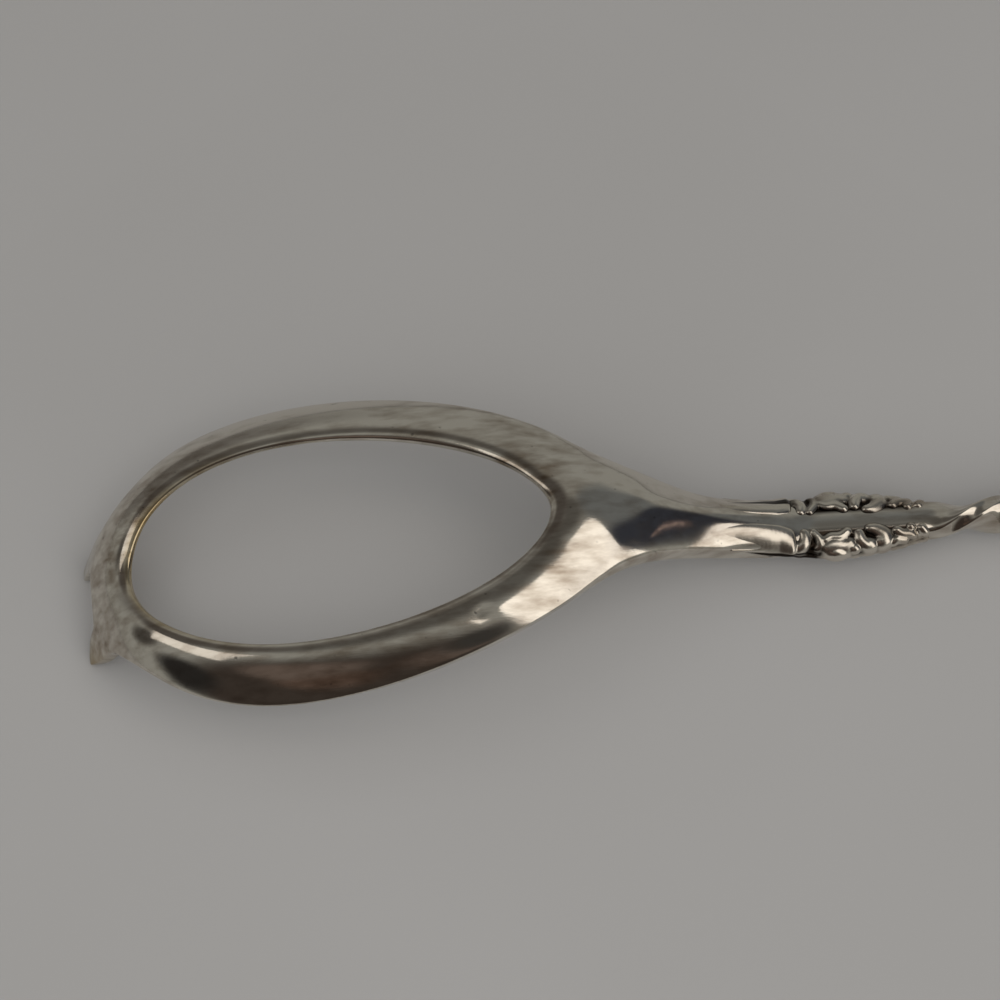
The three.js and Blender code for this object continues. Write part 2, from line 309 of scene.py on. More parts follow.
@dataclass(frozen=True)
class SlabMaker:
    """Puts slabs into a cage. Support points near the edges keep their rounding small."""

    cage: Cage
    support: float = 0.16

    def wall(self, top: Vector, bottom: Vector, wear: float) -> list[int]:
        """Adds the two points of a wall, just below its top and just above its bottom."""
        step = (bottom - top).normalized() * self.support
        return self.cage.add([top + step, bottom - step], wear)

    def slab(self, back: list[Vector], face: list[Vector], wear: float = 0.0) -> Slab:
        """Adds a whole section.

        Args:
            back: Points of its back.
            face: Points of its face, in the same order.
            wear: Edge wear all over it.

        Returns:
            The section's numbers in the cage.
        """
        back_row, face_row = self.cage.add(back, wear), self.cage.add(face, wear)
        first_wall = self.wall(back[0], face[0], wear)
        last_wall = self.wall(back[-1], face[-1], wear)
        return Slab(back_row, face_row, first_wall, last_wall)

    def cap(self, end: Slab, section: Section) -> None:
        """Closes the end of a bar with a grid of faces.

        Args:
            end: Last section of the bar.
            section: Section of the blank that the cap belongs to.
        """
        points = self.cage.points
        count = len(end.back) - 1
        rows = [end.back]
        for first, last in zip(end.first_wall, end.last_wall):
            inner = [points[first].lerp(points[last], i / count) for i in range(1, count)]
            rows.append([first, *self.cage.add(inner), last])
        rows.append(end.face)
        for upper, lower in zip(rows, rows[1:]):
            self.cage.bridge(upper, lower, section)


@dataclass
class Bowl:
    """Pierced oval bowl with its two tines. Sizes are in millimetres from the tine points."""

    width: float
    tip_x: float
    tine_drop: float = 3.3
    tine_spread: float = 9.3
    tine_gap: float = 5.3
    tine_point_width: float = 1.0
    tine_point_depth: float = 0.8
    tine_hook: float = 1.5
    tine_steps: int = 2
    notch_width: float = 11.8
    notch_setback: float = 1.35
    notch_rise: float = 1.4
    plate: float = 1.05
    rim_plate: float = 1.2
    lip: float = 0.3
    bulge: float = 0.45
    hole_length: float = 36.3
    hole_width: float = 19.5
    hole_setback: float = 3.2
    hole_tip_height: float = 6.6
    hole_neck_height: float = 12.1
    hole_fullness: float = 0.165
    hole_steep_share: float = 0.5
    hole_steepness: float = 0.06
    # Angles round the hole, in radians, to the neck's corner, the notch and the root of the tine
    neck_spoke: float = 0.39
    notch_spoke: float = 2.72
    tine_root_spoke: float = 2.95
    rim_steps: int = 20
    tip_steps: int = 3
    band_shares: tuple[float, ...] = (0.0, 0.11, 0.36, 0.65, 0.94, 1.0)
    tine_shares: tuple[float, ...] = (0.3, 0.6, 0.84, 0.96, 1.0)
    # Rim from neck to notch: shares of its length, of the half width and of the height
    rim_shape: tuple[tuple[float, float, float], ...] = (
        (0.14, 0.655, 1.04),
        (0.279, 0.835, 0.96),
        (0.442, 0.96, 0.78),
        (0.605, 1.0, 0.57),
        (0.744, 0.949, 0.41),
        (0.86, 0.805, 0.32),
        (0.953, 0.565, 0.21),
    )

    def hole_edge(self, angle: float) -> Vector:
        """Gives the edge of the hole on the back of the bowl.

        Args:
            angle: Angle round the hole from its neck end.

        Returns:
            The point there.
        """
        along = math.cos(angle)
        share = (1 + along) / 2
        steep = share * (1 + self.hole_steepness) / (share + self.hole_steepness)
        climb = blend(share, steep, self.hole_steep_share)
        middle = self.tip_x + self.hole_setback + self.hole_length / 2
        across = self.hole_width / 2 * math.sin(angle) * (1 - self.hole_fullness * along)
        height = blend(self.hole_tip_height, self.hole_neck_height, climb)
        return Vector((middle + self.hole_length / 2 * along, across, height))

    def rim(self, corner: Vector) -> list[Vector]:
        """Gives the rim on the back of the +Y half.

        Args:
            corner: Where the rim leaves the neck.

        Returns:
            Points from the neck's corner to the notch.
        """
        notch = self.notch()
        through = [corner]
        for along, out, up in self.rim_shape:
            x, z = blend(corner.x, notch.x, along), blend(notch.z, corner.z, up)
            through.append(Vector((x, self.width / 2 * out, z)))
        return smooth_path([*through, notch], self.rim_steps)

    def notch(self) -> Vector:
        """Gives the notch outside the +Y tine."""
        height = self.tine_drop + self.notch_rise
        return Vector((self.tip_x + self.notch_setback, self.notch_width / 2, height))

    def spoke(self, angle: float, rim_back: Vector, rim_face: Vector, through: Vector) -> tuple:
        """Gives one spoke of the band between hole and rim.

        Args:
            angle: Angle round the hole from its neck end.
            rim_back: Where the spoke ends on the back.
            rim_face: Where it ends on the face.
            through: Direction through the metal.

        Returns:
            Points of its back and of its face, from hole to rim.
        """
        hole_back = self.hole_edge(angle)
        hole_face = hole_back - through * self.plate
        back, face = [], []
        for share in self.band_shares:
            # Arch that is 0 at both ends of the spoke and 1 halfway along it
            arch = 4 * share * (1 - share)
            rise = through * self.bulge * arch
            back.append(hole_back.lerp(rim_back, share) + rise)
            face.append(hole_face.lerp(rim_face, share) + rise)
        back[0] = back[0] - through * self.lip
        face[0] = face[0] + through * self.lip
        return back, face

    def half_spokes(self, root: Station, steps: int) -> list[tuple]:
        """Gives the spokes of the +Y half.

        Args:
            root: First section of the neck.
            steps: Number of steps across it.

        Returns:
            Back and face of each spoke, from the middle of the neck to the middle of the tip.
        """

        def through_metal(angle: float, rim_back: Vector) -> Vector:
            """Gives the direction square to the band."""
            chord = (rim_back - self.hole_edge(angle)).normalized()
            return (Vector((0, 0, 1)) - chord * chord.z).normalized()

        spokes = []
        root_back, root_face = root.rows(steps)
        middle = steps // 2
        for i in range(middle, -1, -1):
            angle = self.neck_spoke * (1 - i / middle)
            through = through_metal(angle, root_back[i])
            spokes.append(self.spoke(angle, root_back[i], root_face[i], through))
        for i, rim_back in list(enumerate(self.rim(root_back[0])))[1:-1]:
            angle = blend(self.neck_spoke, self.notch_spoke, i / self.rim_steps)
            through = through_metal(angle, rim_back)
            spokes.append(self.spoke(angle, rim_back, rim_back - through * self.rim_plate, through))
        tip_middle = Vector((self.tip_x, 0, self.tine_drop))
        tine_root = Vector((self.tip_x, self.tine_gap / 2, self.tine_drop))
        through = through_metal(math.pi, tip_middle)
        edge = []
        for i in range(self.tine_steps):
            share = i / self.tine_steps
            angle = blend(self.notch_spoke, self.tine_root_spoke, share)
            edge.append((angle, self.notch().lerp(tine_root, share)))
        for i in range(self.tip_steps + 1):
            share = i / self.tip_steps
            angle = blend(self.tine_root_spoke, math.pi, share)
            edge.append((angle, tine_root.lerp(tip_middle, share)))
        for angle, rim_back in edge:
            spokes.append(self.spoke(angle, rim_back, rim_back - through * self.rim_plate, through))
        return spokes

    def build(self, maker: SlabMaker, root: Station, steps: int) -> Slab:
        """Adds the ring and its tines to the cage.

        Args:
            maker: Puts the slabs into the cage.
            root: First section of the neck.
            steps: Number of steps across it.

        Returns:
            The section in which the neck begins.
        """
        half = self.half_spokes(root, steps)
        mirrored = [tuple([Vector((p.x, -p.y, p.z)) for p in row] for row in each) for each in half]
        around = half + mirrored[-2:0:-1]
        neck, notch = steps // 2, steps // 2 + self.rim_steps
        growth = [Section.NECK] * neck + [None] * self.rim_steps
        growth += [Section.RIGHT_TINE] * self.tine_steps + [None] * (2 * self.tip_steps)
        growth += [Section.LEFT_TINE] * self.tine_steps + [None] * self.rim_steps
        growth += [Section.NECK] * neck
        slabs = [maker.slab(*each) for each in around]
        self.wear_hole(maker.cage, slabs)
        for i, grows in enumerate(growth):
            start, end = slabs[i], slabs[(i + 1) % len(slabs)]
            first, second = start.loop(), end.loop()
            rim_start = len(start.back) - 1
            rim_end = rim_start + len(start.last_wall) + 1
            back, rim, face = slice(rim_start + 1), slice(rim_start, rim_end + 1), slice(rim_end, None)
            for part in (back, rim, face) if grows is None else (back, face):
                maker.cage.bridge(first[part], second[part], Section.BOWL)
        last = len(slabs)
        tine = range(self.tine_steps + 1)
        self.add_tine(maker, [slabs[notch + i] for i in reversed(tine)], Section.RIGHT_TINE)
        self.add_tine(maker, [slabs[last - notch - i] for i in tine], Section.LEFT_TINE)
        return self.edge_slab([slabs[i % last] for i in range(neck, -neck - 1, -1)])

    def wear_hole(self, cage: Cage, spokes: list[Slab]) -> None:
        """Wears the plate off the edge of the hole, most of all at its tip end.

        Args:
            cage: Control mesh that holds the spokes.
            spokes: Spokes all round the hole.
        """
        middle = self.tip_x + self.hole_setback + self.hole_length / 2
        for spoke in spokes:
            along = (cage.points[spoke.back[0]].x - middle) / (self.hole_length / 2)
            for number in [spoke.back[0], spoke.face[0], *spoke.first_wall]:
                cage.wear[number] = max(-along, 0.0) ** 2

    def edge_slab(self, spokes: list[Slab]) -> Slab:
        """Gives the section that grows out of the rim across a row of spokes."""
        back, face = [each.back[-1] for each in spokes], [each.face[-1] for each in spokes]
        return Slab(back, face, spokes[0].last_wall, spokes[-1].last_wall)

    def add_tine(self, maker: SlabMaker, spokes: list[Slab], section: Section) -> None:
        """Grows a tine out of the rim, hooked down to its point.

        Args:
            maker: Puts the slabs into the cage.
            spokes: Spokes that it grows from, from -Y to +Y.
            section: Section that its faces belong to.
        """
        points = maker.cage.points
        side = 1 if section is Section.RIGHT_TINE else -1
        base = self.edge_slab(spokes)
        middle = spokes[self.tine_steps // 2].back
        slope = points[middle[-1]] - points[middle[-2]]
        hook = slope.normalized() * self.tine_hook

        def point(row: str, i: int, share: float) -> Vector:
            """Gives a point of the tine.

            Args:
                row: "back" or "face".
                i: Number of the point in its row.
                share: How far down the tine it lies, from 0 to 1.

            Returns:
                The point.
            """
            root = points[getattr(base, row)[i]]
            depth = self.tine_point_depth if row == "face" else 0.0
            across = self.tine_point_width * (i / self.tine_steps - 0.5)
            out = (self.tine_spread - self.tine_point_width) / 2
            tip = Vector((depth, side * out + across, 0))
            bend = root + hook
            return root.lerp(bend, share).lerp(bend.lerp(tip, share), share)

        before = base
        for share in self.tine_shares:
            count = self.tine_steps + 1
            rows = [[point(row, i, share) for i in range(count)] for row in ("back", "face")]
            slab = maker.slab(*rows, share * share)
            maker.cage.bridge(before.loop(), slab.loop(), section)
            before = slab
        maker.cap(before, section)


@dataclass
class Bar:
    """Neck, shanks, twisted stem and blade. Sizes are in millimetres from the tine points."""

    neck_x: float
    shank_x: float
    stem_x: float
    handle_x: float
    blade_x: float
    end_x: float
    blade_width: float
    width: float = 3.2
    side: float = 0.6
    crown: float = 0.5
    neck_root_width: float = 11.4
    neck_width: float = 5.0
    neck_root_height: float = 9.6
    neck_root_side: float = 0.6
    neck_crown: float = 2.2
    neck_root_gable: float = 0.3
    neck_hollow: float = 1.6
    shank_height: float = 3.85
    stem_start_height: float = 3.1
    stem_end_height: float = 2.4
    half_turns: int = 8
    steps_per_half_turn: int = 8
    blade_start_height: float = 1.7
    blade_edge: float = 0.7
    blade_crown: float = 0.6
    blade_tip_width: float = 2.4
    blade_tip_crown: float = 0.2
    blade_tip_lift: float = 0.8
    loft_step: float = 1.5
    end_support: float = 0.25
    # Neck: shares of its length, width and height, of the bar's side, its crown and hollow, and its gable
    neck_shape: tuple[tuple[float, ...], ...] = (
        (0.18, 1.68, 0.82, 1.0, 0.98, 0.69, 0.6),
        (0.35, 1.32, 0.56, 1.1, 0.91, 0.31, 0.7),
        (0.53, 1.08, 0.29, 1.17, 0.82, 0.0, 0.65),
        (0.72, 1.0, 0.13, 1.17, 0.68, -0.19, 0.5),
        (0.88, 1.0, 0.04, 1.08, 0.5, -0.31, 0.25),
    )
    # Blade where it lies flat: shares of its length and of its width
    blade_shape: tuple[tuple[float, float], ...] = (
        (0.26, 0.56),
        (0.4, 0.78),
        (0.56, 0.95),
        (0.7, 1.0),
        (0.82, 0.93),
        (0.91, 0.74),
        (0.965, 0.48),
    )

    def plain(self, x: float, height: float, turn: float = 0.0) -> Station:
        """Gives the bar's plain section at a place."""
        return Station(x, self.width, height, self.side, self.crown, self.crown, turn=turn)

    def root(self) -> Station:
        """Gives the section in which the neck leaves the bowl."""
        sizes = (self.neck_root_width, self.neck_root_height, self.neck_root_side)
        return Station(self.neck_x, *sizes, self.neck_crown, -self.neck_hollow, self.neck_root_gable)

    def fill(self, given: list[Station]) -> list[Station]:
        """Gives a smooth run of sections through the given ones.

        Args:
            given: Sections that the run passes through.

        Returns:
            The run after its first section, a loft step apart.
        """
        places = [each.x for each in given]
        count = round((places[-1] - places[0]) / self.loft_step)
        run = []
        for i in range(1, count):
            x = blend(places[0], places[-1], i / count)
            sizes = [
                smooth_value(places, [getattr(each, size) for each in given], x)
                for size in SECTION_SIZES
            ]
            run.append(Station(x, *sizes))
        return [*run, given[-1]]

    def neck(self) -> list[Station]:
        """Gives the neck's sections after its root.

        Returns:
            The sections, a loft step apart.
        """
        tongue = [
            Station(
                blend(self.neck_x, self.shank_x, along),
                self.neck_width * broad,
                blend(self.shank_height, self.neck_root_height, high),
                self.side * side,
                self.neck_crown * crown,
                -self.neck_hollow * hollow,
                gable,
            )
            for along, broad, high, side, crown, hollow, gable in self.neck_shape
        ]
        return self.fill([self.root(), *tongue, self.plain(self.shank_x, self.shank_height)])

    def stem(self) -> list[Station]:
        """Gives the sections of the twisted stem after its first one.

        Returns:
            The sections, each turned a little further than the one before.
        """
        count = self.half_turns * self.steps_per_half_turn
        run = []
        for i in range(1, count + 1):
            x = blend(self.stem_x, self.handle_x, i / count)
            height = blend(self.stem_start_height, self.stem_end_height, i / count)
            run.append(self.plain(x, height, -math.pi * i / self.steps_per_half_turn))
        return run

    def blade(self) -> list[Station]:
        """Gives the blade's sections after its first one.

        Returns:
            The sections, with one close to the end to keep its edge crisp.
        """
        flat = [
            Station(
                blend(self.blade_x, self.end_x, along),
                self.blade_width * broad,
                self.blade_edge,
                self.blade_edge,
                self.blade_crown,
                0,
            )
            for along, broad in self.blade_shape
        ]
        lifted = self.blade_edge + self.blade_tip_lift
        tip = (self.blade_tip_width, lifted, self.blade_edge, self.blade_tip_crown, 0)
        run = self.fill(
            [self.plain(self.blade_x, self.blade_start_height), *flat, Station(self.end_x, *tip)]
        )
        return [*run[:-1], Station(self.end_x - self.end_support, *tip), run[-1]]

    def runs(self) -> dict[Section, list[Station]]:
        """Gives the sections of the bar after the neck's root.

        Returns:
            The sections of each part of the blank, from the bowl to the end.
        """
        shank = [
            self.plain(self.shank_x, self.shank_height),
            self.plain(self.stem_x, self.stem_start_height),
        ]
        handle = [
            self.plain(self.handle_x, self.stem_end_height),
            self.plain(self.blade_x, self.blade_start_height),
        ]
        return {
            Section.NECK: self.neck(),
            Section.NECK_SHANK: self.fill(shank),
            Section.STEM: self.stem(),
            Section.HANDLE_SHANK: self.fill(handle),
            Section.BLADE: self.blade(),
        }

    @cached_property
    def line(self) -> list[Station]:
        """Gives the sections of the whole bar in one line."""
        return [each for part in self.runs().values() for each in part]

    def section_at(self, x: float) -> Station:
        """Gives the bar's untwisted section at a place.

        Args:
            x: Place along the fork.

        Returns:
            The section there, blended from its two neighbours.
        """
        place = max(i for i in range(len(self.line) - 1) if self.line[i].x <= x)
        before, after = self.line[place], self.line[place + 1]
        share = (x - before.x) / (after.x - before.x)
        return Station(x, *(blend(getattr(before, s), getattr(after, s), share) for s in SECTION_SIZES))

    def build(self, maker: SlabMaker, base: Slab, steps: int) -> None:
        """Adds the whole bar to the cage.

        Args:
            maker: Puts the slabs into the cage.
            base: Section of the bowl's rim that the neck grows from.
            steps: Number of steps across the bar.
        """
        before = base
        for section, run in self.runs().items():
            for station in run:
                slab = maker.slab(*station.rows(steps))
                maker.cage.bridge(before.loop(), slab.loop(), section)
                before = slab
        maker.cap(before, Section.BLADE)


@dataclass
class Blank:
    """Forged silver blank of the fork. It is shaped whole and then cut into its named sections."""

    bowl: Bowl
    bar: Bar
    finish: Material
    section_steps: int = 8
    subdivisions: int = 2
    ease_reach: float = 2.6
    ease_rounds: int = 4
    ease_factor: float = 0.5
    wave_height: float = 0.02
    wave_length: float = 9.0
    dent_place: tuple[float, float, float] = (33.4, -9.1, 11.3)
    dent_radius: float = 0.7
    dent_depth: float = 0.11
    names: tuple[tuple[Section, str], ...] = (
        (Section.BOWL, "pierced_bowl"),
        (Section.LEFT_TINE, "left_claw"),
        (Section.RIGHT_TINE, "right_claw"),
        (Section.NECK, "tapered_neck"),
        (Section.NECK_SHANK, "scroll_shank"),
        (Section.STEM, "twist"),
        (Section.HANDLE_SHANK, "grip_shank"),
        (Section.BLADE, "spatula_grip"),
    )

    def build(self) -> list[Object]:
        """Builds every section of the blank.

        Returns:
            The pieces, in the order of their names.
        """
        cage = Cage()
        maker = SlabMaker(cage)
        base = self.bowl.build(maker, self.bar.root(), self.section_steps)
        self.bar.build(maker, base, self.section_steps)
        whole = evaluated(
            self.control_mesh(cage),
            [("SUBSURF", {"levels": self.subdivisions, "render_levels": self.subdivisions})],
        )
        self.hammer(whole)
        pieces = [self.cut(whole, section, name) for section, name in self.names]
        bpy.data.meshes.remove(whole)
        return pieces

    def control_mesh(self, cage: Cage) -> Mesh:
        """Makes the cage's mesh, eased where the neck leaves the bowl.

        Args:
            cage: Points and faces of the control mesh.

        Returns:
            The mesh, in millimetres from the tine points.
        """
        mesh = bpy.data.meshes.new("blank_cage")
        mesh.from_pydata(cage.points, [], cage.faces)
        order = list(Section)
        sections = mesh.attributes.new("section", "INT", "FACE")
        sections.data.foreach_set("value", [order.index(each) for each in cage.sections])
        wear = mesh.attributes.new(WORN_EDGE, "FLOAT", "POINT")
        wear.data.foreach_set("value", cage.wear)
        form = bmesh.new()
        form.from_mesh(mesh)
        loose = [v for v in form.verts if not v.link_faces]
        bmesh.ops.delete(form, geom=loose, context="VERTS")
        eased = [v for v in form.verts if abs(v.co.x - self.bar.neck_x) < self.ease_reach]
        axes = {f"use_axis_{axis}": True for axis in "xyz"}
        for _ in range(self.ease_rounds):
            bmesh.ops.smooth_vert(form, verts=eased, factor=self.ease_factor, **axes)
        bmesh.ops.recalc_face_normals(form, faces=form.faces)
        form.to_mesh(mesh)
        form.free()
        return mesh

    def hammer(self, mesh: Mesh) -> None:
        """Gives the blank a hand-finished surface's slight waves and a knock, and turns it to metres.

        Args:
            mesh: Mesh of the whole blank, in millimetres from the tine points.
        """
        normals = [v.normal.copy() for v in mesh.vertices]
        origin = Vector((-self.bar.end_x / 2, 0, 0))
        knock = Vector(self.dent_place)
        for vertex, normal in zip(mesh.vertices, normals):
            wave = noise.noise(vertex.co / self.wave_length) * self.wave_height
            away = (vertex.co - knock).length / self.dent_radius
            wave -= self.dent_depth * math.exp(-away * away)
            place = vertex.co + normal * wave + origin
            place.z = max(place.z, 0.0)
            vertex.co = place * MM

    def cut(self, whole: Mesh, section: Section, name: str) -> Object:
        """Cuts one section out of the blank and closes its cut ends.

        Args:
            whole: Mesh of the whole blank.
            section: Section to keep.
            name: Name of the piece.

        Returns:
            The piece, whose normals run on smoothly into its neighbours'.
        """
        form = bmesh.new()
        form.from_mesh(whole)
        kept = form.verts.layers.float_vector.new("blank_normal")
        for vertex in form.verts:
            vertex[kept] = vertex.normal
        marks = form.faces.layers.int["section"]
        number = list(Section).index(section)
        others = [face for face in form.faces if face[marks] != number]
        bmesh.ops.delete(form, geom=others, context="FACES")
        skin = len(form.faces)
        edges = [edge for edge in form.edges if edge.is_boundary]
        ends = bmesh.ops.holes_fill(form, edges=edges, sides=0)["faces"]
        bmesh.ops.triangulate(form, faces=ends)
        bmesh.ops.recalc_face_normals(form, faces=form.faces)
        mesh = bpy.data.meshes.new(name)
        form.to_mesh(mesh)
        form.free()
        mesh.polygons.foreach_set("use_smooth", [True] * len(mesh.polygons))
        source = mesh.attributes["blank_normal"].data
        normals = [None] * len(mesh.loops)
        for polygon in mesh.polygons:
            for loop in polygon.loop_indices:
                vertex = mesh.loops[loop].vertex_index
                normals[loop] = source[vertex].vector if polygon.index < skin else polygon.normal
        mesh.normals_split_custom_set(normals)
        piece = place_piece(mesh, name, section.value)
        self.dress(piece)
        return piece

    def dress(self, piece: Object) -> None:
        """Gives a section its finish."""
        piece.data.materials.append(self.finish)


@dataclass(frozen=True)
class Stroke:
    """Leaf, roll or bead of a border: places along it, angles over the side and half thicknesses.

    Its two ends sink below the bed, and it spreads wider than thick along the bar and round it.
    """

    path: tuple[tuple[float, float, float], ...]
    sink: tuple[float, float] = (0.0, 0.0)
    spread: tuple[float, float] = (1.15, 1.0)
    both_faces: bool = True


@dataclass(frozen=True)
class DarkBand:
    """Dark band along the long leaf: its two ends along the border and its angle over the side. On the left
    it lies in the groove between the leaf and the hem, on the right over the leaf itself, where the blank
    has no hollow.
    """

    ends: tuple[float, float]
    angle: float


@dataclass(eq=False)
class ScrollBorder:
    """Border of leaves, rolls and beads along one side of a shank. Sizes are in millimetres."""

    name: str
    node: str
    side: Side
    shank: Object
    bar: Bar
    start_x: float
    end_x: float
    finish: Material
    pattern_length: float = 11.5
    bed_height: float = 1.35
    bed_rise: float = 0.12
    bed_fullness: float = 0.75
    ball_spacing: float = 0.2
    ball_subdivisions: int = 3
    degree_length: float = 0.045
    grain: float = 0.07
    smoothing: float = 0.5
    smoothing_rounds: int = 10
    recess: tuple[float, float] = (0.1, 0.3)
    # Dark band on each side: on the left in the groove under the long leaf, on the right over the leaf
    # itself, where there is no hollow
    dark_bands: tuple[tuple[Side, DarkBand], ...] = (
        (Side.LEFT, DarkBand((-6.5, 1.6), 10.0)),
        (Side.RIGHT, DarkBand((-6.5, -0.1), 44.0)),
    )
    band_spread: tuple[float, float] = (1.5, 12.0)
    stain_edge: tuple[float, float] = (0.6, 0.95)
    stain_fade: float = 0.7
    # Ground between the strokes: angles over the side, depths below the bed and half thicknesses
    ground: tuple[tuple[float, float, float], ...] = ((12, 0.42, 0.6), (38, 0.34, 0.6), (60, 0.36, 0.5))
    ground_ends: tuple[float, float] = (-0.5, 10.3)
    # Half width of the bed: places along the pattern and sizes
    bed_shape: tuple[tuple[float, float], ...] = (
        (-11, 1.5),
        (-2, 2.6),
        (0, 2.85),
        (3, 3.2),
        (6, 2.9),
        (8.5, 2.4),
        (12, 1.7),
    )
    strokes: tuple[Stroke, ...] = (
        # Long leaf and the thin hem below it
        Stroke(
            ((-10.4, 46, 0.2), (-7.6, 44, 0.4), (-4.6, 44, 0.55), (-2.4, 45, 0.56), (-1.2, 47, 0.5)),
            sink=(0.85, 0),
            spread=(1.0, 2.5),
            both_faces=False,
        ),
        Stroke(
            ((-8, -8, 0.3), (-2, -8, 0.34), (2.6, -12, 0.42), (8.3, -13, 0.36), (10.6, -4, 0.3)),
            sink=(0.12, 0.08),
            both_faces=False,
        ),
        # Ground of the groove between them
        Stroke(((-6.5, 10, 0.2), (-3.5, 10, 0.3), (-0.6, 10, 0.45)), both_faces=False),
        # Volute: a roll and the hook round it
        Stroke(((0.0, 74, 0.46), (0.05, 60, 0.58), (-0.2, 42, 0.62), (-0.5, 20, 0.72)), sink=(0, 0.05)),
        Stroke(((0.8, 76, 0.38), (1.25, 62, 0.46), (1.3, 44, 0.48), (1.0, 26, 0.42)), sink=(0.05, 0.2)),
        # Wave over the big petal, and the bead behind it
        Stroke(((1.75, 60, 0.38), (2.3, 67, 0.52), (3.1, 67, 0.56), (3.75, 75, 0.46)), sink=(0.1, 0)),
        Stroke(
            ((1.9, 32, 0.45), (2.3, 31, 0.7), (2.8, 31, 0.75), (3.4, 37, 0.6), (3.85, 49, 0.4)),
            sink=(0.1, 0.1),
            spread=(1.5, 1.5),
        ),
        Stroke(((4.25, 24, 0.55),)),
        # Finger and crescent
        Stroke(((4.75, 70, 0.46), (4.8, 58, 0.6), (5.1, 42, 0.62), (5.55, 20, 0.82))),
        Stroke(((5.75, 77, 0.48), (6.3, 74, 0.7), (6.85, 62, 0.84), (6.9, 46, 0.8), (6.7, 20, 0.92))),
        # Curl, sprig and beads that run out towards the twist
        Stroke(((7.7, 14, 0.38), (8.05, 28, 0.48), (8.65, 14, 0.44))),
        Stroke(((8.1, 64, 0.46), (8.5, 52, 0.5), (9.2, 42, 0.46), (9.5, 24, 0.36)), sink=(0, 0.1)),
        Stroke(((9.35, 68, 0.42),)),
        Stroke(((10.3, 58, 0.44), (10.5, 38, 0.46), (10.6, 18, 0.36)), sink=(0.05, 0.1)),
    )

    def bed(self, along: float, angle: float) -> tuple[Vector, Vector]:
        """Gives a point on the bed that the strokes rise to.

        Args:
            along: Place along the pattern.
            angle: Angle round the bar, in degrees over its side.

        Returns:
            The point and the direction out of the bed there.
        """
        x, level, wide, high = self.profile(round(along, PLACE_DIGITS))
        turn = math.radians(angle)
        across, up = abs(math.cos(turn)), abs(math.sin(turn))
        above = math.copysign(1, angle)
        point = (wide * across**self.bed_fullness, high * up**self.bed_fullness)
        out = (across ** (2 - self.bed_fullness) / wide, up ** (2 - self.bed_fullness) / high)
        return (
            Vector((x, self.side.value * point[0], level + above * point[1])),
            Vector((0, self.side.value * out[0], above * out[1])).normalized(),
        )

    @cache
    def profile(self, along: float) -> tuple[float, float, float, float]:
        """Works out the bed at a place along the pattern.

        Args:
            along: Place along the pattern.

        Returns:
            Place along the fork, level, half width and half height there.
        """
        x = blend(self.start_x, self.end_x, along / self.pattern_length)
        section = self.bar.section_at(x)
        least = smooth_value(*map(list, zip(*self.bed_shape)), along)
        wide = max(section.width / 2 + self.bed_rise, least)
        return x, section.height, wide, max(section.side + section.crown, self.bed_height)

    def along(self, x: float) -> float:
        """Gives the place along the pattern that lies at a place along the fork."""
        return (x - self.start_x) / (self.end_x - self.start_x) * self.pattern_length

    def lump(self, along: float, angle: float, size: float, depth: float, spread: tuple) -> numpy.ndarray:
        """Gives a lump of the border, of which its form is fused.

        Args:
            along: Place along the pattern.
            angle: Angle over the side, in degrees.
            size: Half thickness.
            depth: How far it lies below the bed.
            spread: How much wider than thick it is along the bar and round it.

        Returns:
            Its middle and then its half axes, one in each row.
        """
        point, out = self.bed(along, angle)
        way = Vector((1, 0, 0))
        middle = point - out * (size + depth)
        return numpy.array([middle, way * size * spread[0], out.cross(way) * size * spread[1], out * size])

    def lumps(self) -> list[numpy.ndarray]:
        """Gives the lumps of all strokes and of the ground between them.

        Returns:
            Middle and half axes of each lump.
        """
        lumps = []
        for stroke in self.strokes:
            points = [
                Vector((along, angle * self.degree_length, size)) for along, angle, size in stroke.path
            ]
            reach = sum((end - start).length for start, end in zip(points, points[1:]))
            thickness = sum(each.z for each in points) / len(points)
            count = math.ceil(reach / (self.ball_spacing * thickness))
            run = smooth_path(points, count) if count else points
            for i, (along, arc, size) in enumerate(run):
                share = i / max(count, 1)
                sink = blend(*stroke.sink, share)
                for face in (1, -1) if stroke.both_faces else (1,):
                    angle = face * arc / self.degree_length
                    lumps.append(self.lump(along, angle, size, sink, stroke.spread))
        first, last = self.ground_ends
        for angle, depth, size in self.ground:
            count = math.ceil((last - first) / (self.ball_spacing * size))
            for i in range(count + 1):
                for face in (1, -1):
                    along = blend(first, last, i / count)
                    lumps.append(self.lump(along, face * angle, size, depth, ROUND))
        return lumps

    def inside(self, along: float) -> float:
        """Gives 1 between the ends of the ground and 0 beyond them, with a soft step."""
        first, last = self.ground_ends
        return min(max(min(along - first, last - along) / self.stain_fade, 0), 1)

    def dark_band(self, along: float, angle: float) -> float:
        """Tells whether a place lies in the dark band along the long leaf.

        Args:
            along: Place along the pattern.
            angle: Angle over the side, in degrees.

        Returns:
            1 in the band and 0 beside it, with a soft step.
        """
        dark_band = dict(self.dark_bands)[self.side]
        first, last = dark_band.ends
        share = (along - first) / (last - first)
        if not 0 < share < 1:
            return 0.0
        inner = blend(*self.band_spread, share) - abs(angle - dark_band.angle)
        fade = min((last - along) / self.stain_fade, 1)
        return min(max(inner / self.band_spread[0], 0), 1) * fade

